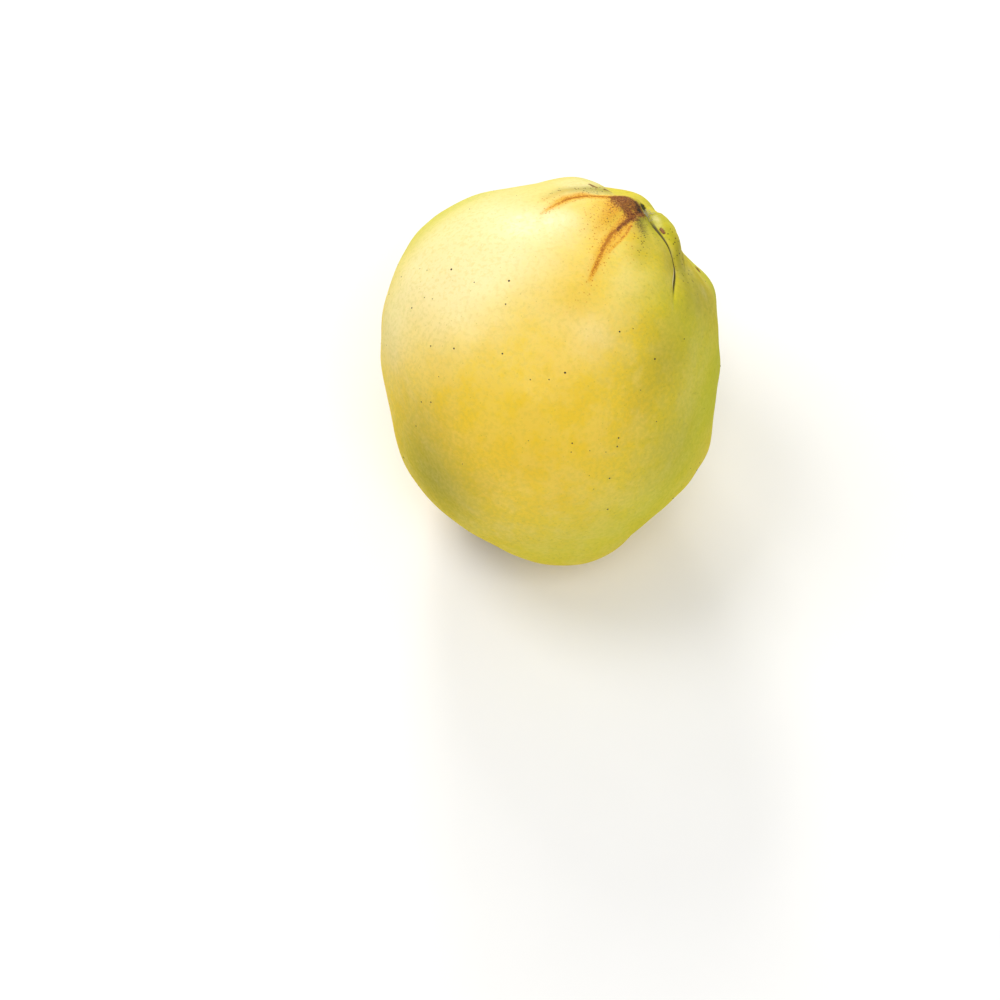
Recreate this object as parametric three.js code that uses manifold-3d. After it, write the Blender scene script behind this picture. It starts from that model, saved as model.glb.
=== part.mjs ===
// A ripe quince, lying on the shoulder beside its calyx with the stem end up.
//
// Units are millimetres, +Z up, and the origin is the centre of the flat spot it rests on.
// The fruit is worked out in a frame of its own, whose z axis runs up its core from the calyx
// to the stem pit, with z = 0 at the middle of the belly. There an azimuth turns about the
// core and a polar angle is counted from the stem end, both in degrees. A tilted group then
// lays that frame over the flat spot.

import * as THREE from "three";
import { mergeVertices } from "three/addons/utils/BufferGeometryUtils.js";
import Module from "manifold-3d";

// Driving dimensions of the fruit
const BELLY_RADIUS = 48.5;
const STEM_HEIGHT = 52; // from the belly up to the lobes round the stem pit
const CALYX_HEIGHT = 47.5; // from the belly down to the rim of the calyx basin
const PIT_RADIUS = 3.1;
const PIT_DEPTH = 7.5;
const BASIN_RADIUS = 13;
const BASIN_DEPTH = 9.5;
const TUBE_RADIUS = 6.2; // the socket at the bottom of the basin that holds the calyx
const SWAY = 4.5; // how far the core bows to one side
const SWAY_LENGTH = 60; // half a wave of that bow
const SWAY_START = 47; // height where the bow passes through the core's own line
const GAP = 0.3; // clearance between the fruit and what sits in its two hollows

// Pose of the fruit over the flat spot
const CORE_AXIS = new THREE.Vector3(0.4535, 0.5744, 0.6815);
const SIDE_AXIS = new THREE.Vector3(0.8829, -0.3938, -0.2557); // azimuth 0
const BELLY_CENTRE = new THREE.Vector3(-0.3, -0.3, 48.1);

// Fineness of the fruit
const MERIDIANS = 80;
const ROWS = 46;

const DEG = Math.PI / 180;

const PALETTE = {
  skin: { color: 0xe6cf62, roughness: 0.48, metalness: 0 },
  calyx: { color: 0x2b1a10, roughness: 0.9, metalness: 0 },
  stem: { color: 0x6f5a43, roughness: 0.85, metalness: 0 },
};

// Creases that divide the stem end into lobes. Each one is a soft valley with a narrow cut
// along its bottom, and runs from the pit until it fades at its reach. It leaves the pit
// turned by hook from its azimuth, and straightens out within the first few millimetres. One
// with a bulge swings to the side further on. Both are in degrees, and spread is the valley's
// half width near the pit, in millimetres.
const HOOK_LENGTH = 9;
const BULGE_PLACE = 23.2; // how far from the pit a crease swings to the side by its bulge
const BULGE_LENGTH = 6.0; // half the length of that swing
const STEM_CREASES = [
  { azimuth: -95, hook: 0, reach: 38, valley: 1.2, spread: 3.2, cut: 0.5 },
  { azimuth: -52, hook: -45, bulge: 8, reach: 44, valley: 2, spread: 2.4, cut: 1.8 },
  { azimuth: -42, hook: 60, reach: 36, valley: 2.4, spread: 2.2, cut: 0.8 },
  { azimuth: -10, hook: 50, reach: 32, valley: 1.2, spread: 2.6, cut: 0.7 },
  { azimuth: 58, hook: 10, reach: 44, valley: 1.9, spread: 3.5, cut: 0.5 },
  { azimuth: 134, hook: 40, reach: 40, valley: 2.4, spread: 3.6, cut: 0.8 },
  { azimuth: -144, hook: -60, reach: 38, valley: 1.6, spread: 3, cut: 0.5 },
];

// Creases round the calyx basin: ten shallow ones, every second one longer and deeper.
const CALYX_CREASES = Array.from({ length: 10 }, (_, k) => ({
  azimuth: 36 * k + 7 * Math.sin(2.7 * k + 1),
  hook: 12 * Math.sin(1.9 * k),
  reach: k % 2 ? 21 : 27 + 3 * Math.sin(1.3 * k),
  valley: k % 2 ? 0.7 : 1.3,
  spread: k % 2 ? 1.8 : 2.4,
  cut: k % 2 ? 0.3 : 0.6,
}));

// Broad lumps and hollows of the body, each a round swelling of the given height and width.
const LUMPS = [
  { azimuth: 150, polar: 25, width: 9, height: 1.2 }, // crown across from the right lobe
  { azimuth: 163, polar: 40, width: 10, height: -1.9 }, // flat below it
  { azimuth: -140, polar: 9, width: 7, height: 1.2 }, // knob beside the pit
  { azimuth: -100, polar: 7, width: 6, height: 1.3 }, // the knob's front edge
  { azimuth: 110, polar: 15, width: 8, height: 0.5 }, // the knob's far edge
  { azimuth: -45, polar: 8, width: 6, height: 1.3 }, // lip of the narrow lobe, over the pit
  { azimuth: 42, polar: 8, width: 6, height: 0.6 },
  { azimuth: -17, polar: 18, width: 5, height: -0.9 }, // gap between that lobe and the right one
  { azimuth: 29, polar: 22, width: 7, height: -2.1 },
  { azimuth: -43, polar: 17, width: 7, height: 2.1 }, // narrow lobe between two creases
  { azimuth: 1, polar: 22, width: 10, height: -3.2 }, // drop of the crown on the right
  { azimuth: 42, polar: 31, width: 14, height: -2.2 },
  { azimuth: 3, polar: 48, width: 11, height: -1.2 },
  { azimuth: 105, polar: 34, width: 16, height: 1.2 }, // broad lobe at the back
  { azimuth: -66, polar: 48, width: 15, height: 1.2 }, // ridge down the front
  { azimuth: -98, polar: 68, width: 14, height: -0.9 }, // hollow where the front valley ends
  { azimuth: -52, polar: 76, width: 14, height: -0.9 }, // hollow where the long crease ends
  { azimuth: -135, polar: 58, width: 18, height: 0.7 },
  { azimuth: 0, polar: 88, width: 13, height: 1.5 },
  { azimuth: -10, polar: 120, width: 11, height: -1.6 },
  { azimuth: -24, polar: 144, width: 12, height: 1.6 }, // swollen side of the calyx end
  { azimuth: -92, polar: 162, width: 11, height: -1.5 },
  { azimuth: -164, polar: 138, width: 11, height: 0.6 },
  { azimuth: 179, polar: 92, width: 20, height: -2.3 },
  { azimuth: 82, polar: 118, width: 18, height: 1.8 }, // where the fruit's weight lies
  { azimuth: 50, polar: 148, width: 16, height: -1.6 },
];

// The half section of the fruit, from the floor of the stem pit to the floor of the socket
// in the calyx basin, as radius and height.
function fruitProfile() {
  const r = BELLY_RADIUS;
  const top = STEM_HEIGHT;
  const base = -CALYX_HEIGHT;
  const pitFloor = top - PIT_DEPTH;
  const socketFloor = base + BASIN_DEPTH;
  return [
    [0, pitFloor],
    [0.55 * PIT_RADIUS, pitFloor + 0.1],
    [0.8 * PIT_RADIUS, pitFloor + 0.45 * PIT_DEPTH],
    [1.1 * PIT_RADIUS, pitFloor + 0.82 * PIT_DEPTH],
    [1.9 * PIT_RADIUS, top],
    [0.3 * r, 0.965 * top],
    [0.46 * r, 0.89 * top],
    [0.62 * r, 0.785 * top],
    [0.765 * r, 0.64 * top],
    [0.88 * r, 0.46 * top],
    [0.965 * r, 0.25 * top],
    [r, 0.02 * top],
    [0.97 * r, 0.19 * base],
    [0.885 * r, 0.41 * base],
    [0.765 * r, 0.62 * base],
    [0.63 * r, 0.79 * base],
    [0.48 * r, 0.92 * base],
    [0.36 * r, 0.985 * base],
    [BASIN_RADIUS, base],
    [0.72 * BASIN_RADIUS, base + 0.18 * BASIN_DEPTH],
    [1.08 * TUBE_RADIUS, base + 0.55 * BASIN_DEPTH],
    [0.94 * TUBE_RADIUS, base + 0.92 * BASIN_DEPTH],
    [0.5 * TUBE_RADIUS, socketFloor],
    [0, socketFloor],
  ].map(([x, y]) => new THREE.Vector2(x, y));
}

// Rises from 0 at x = a to 1 at x = b, level at both ends.
function smooth(x, a, b) {
  return THREE.MathUtils.smoothstep(x, a, b);
}

// The depth of one crease at an azimuth, at a radius from the core and at a distance from
// the middle of its hollow. It starts inside the lip, widens as it runs and fades out.
function creaseDepth(crease, azimuth, radius, distance, lip) {
  if (distance >= crease.reach) return 0;
  const along = distance / crease.reach;
  const hooked = crease.hook * Math.exp(-distance / HOOK_LENGTH);
  const swing = (crease.bulge ?? 0) * Math.exp(-(((distance - BULGE_PLACE) / BULGE_LENGTH) ** 2));
  const offset = azimuth - crease.azimuth - hooked - swing;
  const turn = offset - 360 * Math.round(offset / 360);
  const across = Math.abs(turn * DEG * radius);
  const halfWidth = crease.spread * (1 + 1.6 * along);
  const valley = crease.valley * Math.exp(-((across / halfWidth) ** 2));
  const cut = crease.cut * Math.exp((-3.5 * across) / halfWidth);
  const fade = (1 - along * along) ** 2;
  return (valley + cut) * fade * smooth(radius, 0.75 * lip, 1.6 * lip);
}

// A direction from the middle of the belly, given by azimuth and polar angle.
function direction(azimuth, polar) {
  return new THREE.Vector3().setFromSphericalCoords(1, polar * DEG, azimuth * DEG);
}

// How far the skin stands out of the plain turned shape at a point of it.
function relief(point, azimuth, radius) {
  const fromStem = Math.hypot(radius, STEM_HEIGHT - point.z);
  const fromCalyx = Math.hypot(radius, CALYX_HEIGHT + point.z);
  let height = 0;
  for (const crease of STEM_CREASES)
    height -= creaseDepth(crease, azimuth, radius, fromStem, 1.4 * PIT_RADIUS);
  for (const crease of CALYX_CREASES)
    height -= creaseDepth(crease, azimuth, radius, fromCalyx, TUBE_RADIUS);
  const here = direction(azimuth, Math.atan2(radius, point.z) / DEG);
  const clear = smooth(radius, PIT_RADIUS, 2 * PIT_RADIUS);
  for (const lump of LUMPS) {
    const apart = 1 - here.dot(direction(lump.azimuth, lump.polar));
    height += clear * lump.height * Math.exp(-apart / (1 - Math.cos(lump.width * DEG)));
  }
  return height;
}

// How far the core is bowed to the side at a height.
function sway(z) {
  return SWAY * Math.sin((Math.PI * (z - SWAY_START)) / SWAY_LENGTH);
}

// The fruit in its own frame: the profile turned about the core, then every point moved
// along its normal by the relief, and sideways with the bow of the core.
function fruitGeometry() {
  const section = new THREE.SplineCurve(fruitProfile()).getPoints(ROWS);
  section[0].x = 0;
  section[ROWS].x = 0;
  const geometry = new THREE.LatheGeometry(section.reverse(), MERIDIANS);
  geometry.rotateX(Math.PI / 2);
  const positions = geometry.attributes.position;
  const normals = geometry.attributes.normal;
  const point = new THREE.Vector3();
  const normal = new THREE.Vector3();
  for (let i = 0; i < positions.count; i++) {
    point.fromBufferAttribute(positions, i);
    normal.fromBufferAttribute(normals, i);
    const radius = Math.hypot(point.x, point.y);
    const azimuth = Math.atan2(point.y, point.x) / DEG;
    if (radius > 1e-6) point.addScaledVector(normal, relief(point, azimuth, radius));
    point.x += sway(point.z);
    positions.setXYZ(i, point.x, point.y, point.z);
  }
  return geometry;
}

const wasm = await Module();
wasm.setup();

// A closed geometry as a solid that can be joined and cut.
function solid(geometry) {
  const bare = geometry.clone();
  bare.deleteAttribute("normal");
  bare.deleteAttribute("uv");
  const merged = mergeVertices(bare, 1e-4);
  return new wasm.Manifold(
    new wasm.Mesh({
      numProp: 3,
      vertProperties: new Float32Array(merged.attributes.position.array),
      triVerts: new Uint32Array(merged.index.array),
    }),
  );
}

// The geometry of a solid, with normals for drawing.
function drawn(made) {
  const mesh = made.getMesh();
  const geometry = new THREE.BufferGeometry();
  geometry.setAttribute("position", new THREE.BufferAttribute(mesh.vertProperties, 3));
  geometry.setIndex(new THREE.BufferAttribute(mesh.triVerts, 1));
  geometry.computeVertexNormals();
  return geometry;
}

function piece(name, geometry, finish) {
  const mesh = new THREE.Mesh(geometry, new THREE.MeshStandardMaterial(finish));
  mesh.name = name;
  return mesh;
}

// Where the fruit's own frame lies over the flat spot.
function fruitPose() {
  const side = SIDE_AXIS.clone().normalize();
  const core = CORE_AXIS.clone().normalize();
  const across = new THREE.Vector3().crossVectors(core, side).normalize();
  side.crossVectors(across, core);
  return new THREE.Matrix4().makeBasis(side, across, core).setPosition(BELLY_CENTRE);
}

// The whole fruit as it lies, cut level where it meets the ground.
function fruit() {
  const body = solid(fruitGeometry().applyMatrix4(fruitPose()));
  const size = 6 * BELLY_RADIUS;
  const ground = solid(new THREE.BoxGeometry(size, size, size).translate(0, 0, -size / 2));
  return piece("fruit", drawn(body.subtract(ground)), PALETTE.skin);
}

// A pointed blade or bristle, its root at the origin and its tip up the z axis. It is a
// cone with full sides, squashed to its thickness and bent away from its axis.
function spike(length, width, thickness, bend, sides) {
  const geometry = new THREE.ConeGeometry(0.5, length, sides, 5);
  geometry.translate(0, length / 2, 0).rotateX(Math.PI / 2);
  geometry.scale(thickness, width, 1);
  const positions = geometry.attributes.position;
  for (let i = 0; i < positions.count; i++) {
    const along = positions.getZ(i) / length;
    const fullness = along < 0.99 ? (1 - along) ** -0.4 : 1;
    const x = fullness * positions.getX(i) + bend * along * along;
    positions.setX(i, x);
    positions.setY(i, fullness * positions.getY(i));
  }
  return geometry;
}

// The dried calyx: a disc in the bottom of the socket that carries five curled sepals round
// its edge and a tuft of withered stamens in its middle.
const SEPALS = 5;
const SEPAL_LENGTH = 7.5;
const SEPAL_WIDTH = 4.6;
const SEPAL_THICKNESS = 1.1;
const STAMENS = 11;
const STAMEN_LENGTH = 4.2;
const STAMEN_WIDTH = 0.8;
const DISC_THICKNESS = 1.4;

function calyx() {
  const discRadius = 0.94 * TUBE_RADIUS - 1.1 - GAP;
  const disc = new THREE.CylinderGeometry(discRadius, 0.8 * discRadius, DISC_THICKNESS, 20);
  disc.rotateX(Math.PI / 2).translate(0, 0, DISC_THICKNESS / 2);
  let made = solid(disc);
  for (let k = 0; k < SEPALS; k++) {
    const length = SEPAL_LENGTH * (1 + 0.14 * Math.sin(2.3 * k));
    const curl = 1.6 + 1.4 * Math.sin(1.7 * k + 0.6);
    const sepal = spike(length, SEPAL_WIDTH, SEPAL_THICKNESS, curl, 8);
    sepal.rotateY((4 + 5 * Math.sin(2.9 * k)) * DEG);
    sepal.translate(discRadius - 1.2, 0, 0.5 * DISC_THICKNESS);
    sepal.rotateZ((72 * k + 9 * Math.sin(1.1 * k)) * DEG);
    made = made.add(solid(sepal));
  }
  for (let k = 0; k < STAMENS; k++) {
    const out = 0.34 * Math.sqrt((k + 0.5) / STAMENS) * TUBE_RADIUS;
    const length = STAMEN_LENGTH * (1 + 0.25 * Math.sin(4.1 * k));
    const stamen = spike(length, STAMEN_WIDTH, STAMEN_WIDTH, 0.9, 4);
    stamen.rotateY(14 * DEG).translate(out, 0, 0.5 * DISC_THICKNESS);
    stamen.rotateZ(137.5 * k * DEG);
    made = made.add(solid(stamen));
  }
  // The disc looks out of the socket, so the tuft is turned over to point down the core.
  const floor = -CALYX_HEIGHT + BASIN_DEPTH - GAP;
  const geometry = drawn(made).rotateX(Math.PI).translate(sway(floor), 0, floor);
  return piece("calyx", geometry, PALETTE.calyx);
}

// The stub that the broken stem left in its pit: a ribbed peg with a splintered, slanted end.
const STUB_HEIGHT = 4.6;
const STUB_SLANT = 0.9;

function stemStub() {
  const radius = 0.55 * PIT_RADIUS - GAP;
  const geometry = new THREE.CylinderGeometry(radius, radius, STUB_HEIGHT, 20, 5);
  geometry.rotateX(Math.PI / 2).translate(0, 0, STUB_HEIGHT / 2);
  const positions = geometry.attributes.position;
  for (let i = 0; i < positions.count; i++) {
    const x = positions.getX(i);
    const y = positions.getY(i);
    const z = positions.getZ(i);
    const azimuth = Math.atan2(y, x);
    const out = Math.hypot(x, y) / radius;
    const rib = 1 - 0.06 * out * (1 + Math.sin(5 * azimuth + z));
    const end = z > 0.99 * STUB_HEIGHT ? 1 : 0;
    const splinter = 0.4 * out * Math.sin(7 * azimuth + 1);
    const slant = (STUB_SLANT * x) / radius;
    positions.setXYZ(i, rib * x, rib * y, z + end * (splinter + slant));
  }
  const floor = STEM_HEIGHT - PIT_DEPTH + GAP;
  geometry.translate(sway(floor), 0, floor);
  return piece("stem_stub", geometry, PALETTE.stem);
}

const inFruit = new THREE.Group();
inFruit.applyMatrix4(fruitPose());
inFruit.add(calyx(), stemStub());

const quince = new THREE.Group();
quince.add(fruit(), inFruit);

export default quince;
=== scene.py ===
"""A ripe quince lying on its shoulder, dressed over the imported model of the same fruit.

The fruit is worked out in its own frame in millimetres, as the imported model's was: the z axis
runs up the core from the calyx to the stem pit, z = 0 is the middle of the belly, an azimuth
turns about the core and a polar angle is counted from the stem end. It is then laid over the
flat spot that it rests on, and turned into metres as its mesh is made.
"""

import math

import bpy
import numpy as np
from mathutils import Matrix, Vector


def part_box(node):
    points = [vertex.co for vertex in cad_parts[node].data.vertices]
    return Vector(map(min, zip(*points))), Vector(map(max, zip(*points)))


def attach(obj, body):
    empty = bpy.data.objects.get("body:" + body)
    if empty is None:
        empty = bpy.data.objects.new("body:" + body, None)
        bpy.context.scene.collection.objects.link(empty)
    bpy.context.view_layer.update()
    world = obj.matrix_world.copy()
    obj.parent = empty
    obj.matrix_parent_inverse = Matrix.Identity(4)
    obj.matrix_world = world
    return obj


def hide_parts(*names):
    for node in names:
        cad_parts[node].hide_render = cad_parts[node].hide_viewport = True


bl_info = {
    "name": "Quince",
    "version": (1, 0, 0),
    "blender": (4, 5, 0),
    "location": "3D View > Sidebar > Quince",
    "description": "Builds a ripe quince with its skin, calyx and stem stub",
    "category": "Object",
}

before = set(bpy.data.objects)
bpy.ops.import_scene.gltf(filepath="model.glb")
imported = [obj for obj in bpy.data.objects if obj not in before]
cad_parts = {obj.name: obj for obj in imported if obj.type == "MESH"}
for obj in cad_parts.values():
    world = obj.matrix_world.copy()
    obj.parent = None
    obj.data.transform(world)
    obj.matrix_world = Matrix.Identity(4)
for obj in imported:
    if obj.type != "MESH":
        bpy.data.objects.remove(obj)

MM = 0.001
DEG = math.pi / 180

# How the fruit's own frame lies over the flat spot, in millimetres
CORE_AXIS = (0.4535, 0.5744, 0.6815)
SIDE_AXIS = (0.8829, -0.3938, -0.2557)  # azimuth 0
BELLY_CENTRE = (-0.3, -0.3, 48.1)

HOOK_LENGTH = 9.0  # how far from the pit a crease has straightened out, in millimetres
BULGE_PLACE = 23.2  # how far from the pit a crease swings to the side
BULGE_LENGTH = 6.0  # half the length of that swing
SWAY_LENGTH = 60.0  # half a wave of the bow in the core
SWAY_START = 47.0  # the height where that bow passes through the core's own line
GAP = 0.3  # clearance between the fruit and what sits in its two hollows
DENSE = 4000  # steps along the half section while its rows are being spaced
SLANT = (0.31, 0.77, 0.55)  # a line that no round tube runs along

# Creases of the stem end: azimuth, hook, bulge, reach, valley, spread, cut
STEM_CREASES = (
    (-95, 0, 0, 38, 1.2, 3.2, 0.5),
    (-52, -45, 8.0, 44, 2.0, 2.4, 1.8),
    (-42, 60, 0, 36, 2.4, 2.2, 0.8),
    (-10, 50, 0, 32, 1.2, 2.6, 0.7),
    (58, 10, 0, 44, 1.9, 3.5, 0.5),
    (134, 40, 0, 40, 2.4, 3.6, 0.8),
    (-144, -60, 0, 38, 1.6, 3.0, 0.5),
)

LONG_CREASE = STEM_CREASES[1]
CREASED_SIDE = -60  # the azimuth where the meridians lie closest together
SHADE_LINE_PLACE = 0.25  # a crease's line of painted shade runs this far to the side of its bottom
HIGHLIGHT_RIM_PLACE = -0.9  # and the painted highlight on the lip of its near side this far
FAR_ASIDE = 9.0  # stands for the distance of a point that no crease is near
HOLLOW_REACH = 20  # both hollows' floors lie closer than this to the middle of their rims

# Broad lumps and hollows of the body: azimuth, polar angle, width in degrees, height
LUMPS = (
    (150, 25, 9, 1.2), (163, 40, 10, -1.9), (-140, 9, 7, 1.2), (-100, 7, 6, 1.3),
    (110, 15, 8, 0.5), (-45, 8, 6, 1.3), (42, 8, 6, 0.6), (-17, 18, 5, -0.9), (29, 22, 7, -2.1),
    (-43, 17, 7, 2.1), (1, 22, 10, -3.2), (42, 31, 14, -2.2), (3, 48, 11, -1.2),
    (105, 34, 16, 1.2), (-66, 48, 15, 1.2), (-98, 68, 14, -0.9), (-52, 76, 14, -0.9),
    (-135, 58, 18, 0.7), (0, 88, 13, 1.5), (-10, 120, 11, -1.6), (-24, 144, 12, 1.6),
    (-92, 162, 11, -1.5), (-164, 138, 11, 0.6), (179, 92, 20, -2.3), (82, 118, 18, 1.8),
    (50, 148, 16, -1.6),
)

# Tints of the skin, each a soft round patch: azimuth, polar angle, width in degrees, amount. Some
# of them are painted light, as said above each table.
GREEN_PATCHES = (
    (-40, 45, 16, 0.5), (-25, 75, 26, 0.75), (-30, 110, 24, 0.6), (-45, 140, 22, 0.5),
    (-60, 12, 12, 0.7), (60, 15, 12, 0.7), (150, 16, 9, 0.5), (-62, 38, 14, 0.4),
    (150, 60, 40, 0.5), (-175, 70, 16, 0.4), (178, 50, 12, 0.3), (20, 34, 18, 0.8),
    (0, 60, 18, 0.8), (-152, 92, 12, 0.15), (60, 90, 40, 0.6), (-120, 150, 26, 0.35),
)
# Gold patches: the ripe skin's own deep gold, and partly painted shade in the one low on the lower
# side, at azimuth -112
GOLD_AND_SHADE_PATCHES = (
    (-80, 95, 26, 0.4), (-112, 115, 24, 0.6), (-97, 52, 9, 0.45), (-90, 70, 12, 0.3),
    (120, 110, 36, 0.45),
)
# Olive patches: smudges of the skin's own dull green, and painted shade in those low on the lower
# side, at azimuth -112 to -125, and in the one beside the pit
OLIVE_AND_SHADE_PATCHES = (
    (-52, 55, 10, 0.35), (-57, 66, 10, 0.25), (-38, 85, 16, 0.3), (-124, 134, 20, 0.45),
    (-125, 112, 12, 0.2), (-56, 27, 6, 0.4), (-32, 33, 10, 0.5), (-112, 136, 18, 0.45),
    (-70, 9, 6, 0.6),
)
# Pale patches: bleached skin, and painted highlights where the broad ones lie on the lit upper side
# and where the small ones stand for glints of the skin
PALE_AND_HIGHLIGHT_PATCHES = (
    (-128, 50, 20, 0.8), (-150, 70, 22, 0.9), (-178, 45, 20, 0.7), (-150, 96, 14, 0.6),
    (180, 18, 9, 1.0), (-28.5, 34, 2.2, 0.6), (-36, 27, 1.8, 0.4), (-126, 34, 6, 0.5),
    (-86, 60, 9, 0.5), (-125, 78, 14, 0.45), (-78, 40, 8, 0.35),
)

# Russet, drawn as streaks over the skin: width in millimetres, then azimuth, polar angle and
# strength at each point
RUSSET_STREAKS = (
    (0.9, ((-95, 14, 1.1), (-98, 22, 1.15), (-99, 28, 1.1), (-98, 34, 1.05), (-96, 42, 0.95),
           (-95, 46, 0.5))),
    (0.6, ((-91, 18, 0.9), (-91, 24, 0.85), (-93, 29, 0.75), (-95, 35, 0.6))),
    (2.4, ((-98, 14, 0.85), (-97, 22, 0.8), (-98, 30, 0.7), (-97, 38, 0.55), (-95, 46, 0.25))),
    (0.9, ((-131, 12, 1.1), (-141, 15, 1.1), (-148, 18, 1.1), (-148, 21, 1.1), (-146, 25, 1.1),
           (-141, 29, 0.95), (-137, 34, 0.7), (-134, 38, 0.2))),
    (2.4, ((-136, 14, 0.7), (-150, 19, 0.8), (-147, 25, 0.75), (-140, 31, 0.5), (-134, 38, 0.15))),
    (3.6, ((-124, 13, 0.8), (-114, 18, 0.65), (-108, 26, 0.45), (-102, 35, 0.25))),
    (3.0, ((-130, 17, 0.4), (-121, 24, 0.32), (-112, 32, 0.2))),
    (1.6, ((-168, 14, 0.15), (-163, 20, 0.2), (-158, 26, 0.3), (-148, 33, 0.3))),
    (3.0, ((-96, 42, 0.3), (-93, 52, 0.16), (-100, 60, 0.1))),
    (3.2, ((-88, 18, 0.35), (-86, 26, 0.25), (-84, 34, 0.14))),
)
# The brown cork on the knob beside the pit and in a scar on the narrow lobe, in the same terms
BARK_STREAKS = (
    (2.2, ((-130, 12, 0.75), (-120, 10.5, 1.0), (-106, 10, 1.0), (-94, 10, 1.0), (-89, 11, 0.9))),
    (2.6, ((-122, 13, 0.6), (-106, 13, 0.75), (-95, 14, 0.7))),
    (0.8, ((-93, 13, 0.8), (-96, 17, 0.7), (-98, 22, 0.4))),
    (0.5, ((-98, 22, 0.8), (-98, 24, 0.8))),
    (0.5, ((-55.6, 14.1, 1.0), (-54.2, 15.6, 1.0))),
    (0.45, ((-176.6, 16.5, 0.9), (-173.8, 15.5, 0.8), (-172.4, 14.2, 0.6))),
    (0.35, ((-175, 12, 0.9), (173, 9.4, 0.7))),
    (0.4, ((68, 11, 0.9), (60, 12.5, 0.9))),
    (0.7, ((14.2, 26.8, 1.0), (8.7, 27.4, 1.0))),
)
# Painted shade in dull green beside the pit and along the creases, partly the skin's own olive, in
# the same terms
OLIVE_SHADE_STREAKS = (
    (2.0, ((-84, 10, 0.8), (-76, 13, 0.8), (-70, 17, 0.5), (-66, 22, 0.25))),
    (3.2, ((-86, 12, 0.9), (-84, 17, 0.9), (-79, 22, 0.5), (-78, 32, 0.3))),
    (1.6, ((-118, 17, 0.55), (-112, 19, 0.6), (-107, 24, 0.3))),
    (1.7, ((-50, 15, 0.6), (-45, 20, 0.8), (-42, 26, 0.8), (-44, 34, 0.5), (-46, 42, 0.2))),
    (1.4, ((-38, 22, 0.5), (-37, 30, 0.4), (-38, 40, 0.25))),
    (1.8, ((-172, 12, 0.85), (-163, 18, 0.8), (-160, 25, 0.6), (-152, 31, 0.25))),
    (2.4, ((-86, 13, 0.9), (-81, 18, 1.0), (-77, 22, 0.5))),
)
# Brownish black in the pit and where the long crease leaves it, painted shade there, with a few
# dark marks beside the russet, in the same terms
PIT_SHADE_AND_MARK_STREAKS = (
    (0.9, ((-90, 6.6, 1.0), (-85, 6.2, 1.0), (-81, 6.3, 0.9))),
    (0.9, ((85, 3.9, 1.0), (75, 3.8, 1.0))),
    (1.4, ((-76, 8, 0.45), (-70, 11, 0.5), (-66, 14, 0.4))),
    (1.5, ((-110, 9, 0.4), (-98, 9, 0.65), (-91, 10, 0.75))),
    (0.35, ((-148, 12, 0.5), (-156, 14, 0.6), (-158, 17, 0.4))),
    (2.4, ((-86, 13, 0.52), (-82, 17, 0.56), (-79, 21, 0.44), (-78, 27, 0.25))),
    (1.5, ((-168, 14, 0.3), (-162, 20, 0.32), (-157, 26, 0.26))),
)

# Tufts of down: the end (1 for the stem's, -1 for the calyx's), azimuth, half the range of
# azimuths, least and greatest distance from the core, number of hairs, their length
DOWN_TUFTS = (
    (-1, 0, 180, 4.2, 9.5, 900, 1.4),
    (1, 0, 180, 2.0, 3.6, 120, 0.8),
    (1, -78, 12, 5.5, 9.0, 110, 0.5),
)
DOWN_WIDTH = 0.1

# The picture: its width and the place of the belly's middle in pixels, the camera's sensor in
# millimetres
PICTURE_WIDTH = 1000
BELLY_PIXEL = (552, 372)
SENSOR_WIDTH = 36.0

# Dark specks of the skin seen in the picture: pixels from its left and top edges, then the
# speck's width in millimetres
SEEN_SPECKS = (
    (450, 271, 0.56), (509, 279, 0.56), (412, 307, 0.45), (507, 303, 0.42), (455, 349, 0.48),
    (432, 346, 0.42), (503, 352, 0.48), (566, 373, 0.56), (550, 378, 0.34), (530, 381, 0.34),
    (620, 330, 0.48), (633, 330, 0.30), (654, 360, 0.56), (421, 401, 0.42), (430, 403, 0.45),
    (416, 425, 0.40), (618, 439, 0.50), (617, 445, 0.50), (572, 445, 0.44), (571, 454, 0.32),
    (610, 478, 0.48), (608, 510, 0.56), (591, 449, 0.28), (606, 452, 0.28), (473, 282, 0.34),
    (425, 296, 0.30), (432, 298, 0.30), (439, 376, 0.28), (590, 475, 0.26), (594, 488, 0.26),
    (656, 423, 0.34), (684, 340, 0.36), (462, 463, 0.30), (530, 440, 0.26), (640, 391, 0.28),
    (421, 268, 0.26),
)
HIDDEN_SPECKS = 110
HIDDEN_AZIMUTHS = (-20, 215)  # where the picture doesn't reach


def a_length(name, description, default):
    return bpy.props.FloatProperty(
        name=name, description=description, default=default, unit="LENGTH")


def a_colour(name, description, default):
    return bpy.props.FloatVectorProperty(
        name=name, description=description, default=default, subtype="COLOR")


def a_number(name, description, default):
    return bpy.props.FloatProperty(name=name, description=description, default=default)


def a_count(name, description, default):
    return bpy.props.IntProperty(name=name, description=description, default=default)


class QuinceShape(bpy.types.PropertyGroup):
    """Driving sizes of the fruit."""

    belly_radius: a_length("Belly radius", "Half the width of the fruit at its widest", 0.0485)
    stem_height: a_length("Stem height", "From the belly up to the lobes round the stem pit", 0.052)
    calyx_height: a_length("Calyx height", "From the belly down to the rim of the calyx basin",
                           0.0475)
    pit_radius: a_length("Pit radius", "Half the width of the stem pit", 0.0031)
    pit_depth: a_length("Pit depth", "Depth of the stem pit", 0.0075)
    basin_radius: a_length("Basin radius", "Half the width of the calyx basin at its rim", 0.013)
    basin_depth: a_length("Basin depth", "Depth of the calyx basin", 0.0095)
    tube_radius: a_length("Socket radius", "Half the width of the socket that holds the calyx",
                          0.0062)
    sway: a_length("Sway", "How far the core bows to one side", 0.0045)
    meridians: a_count("Meridians", "Points round the fruit in each row", 372)
    rows: a_count("Rows", "Rows of points from the pit to the calyx", 262)


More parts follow.
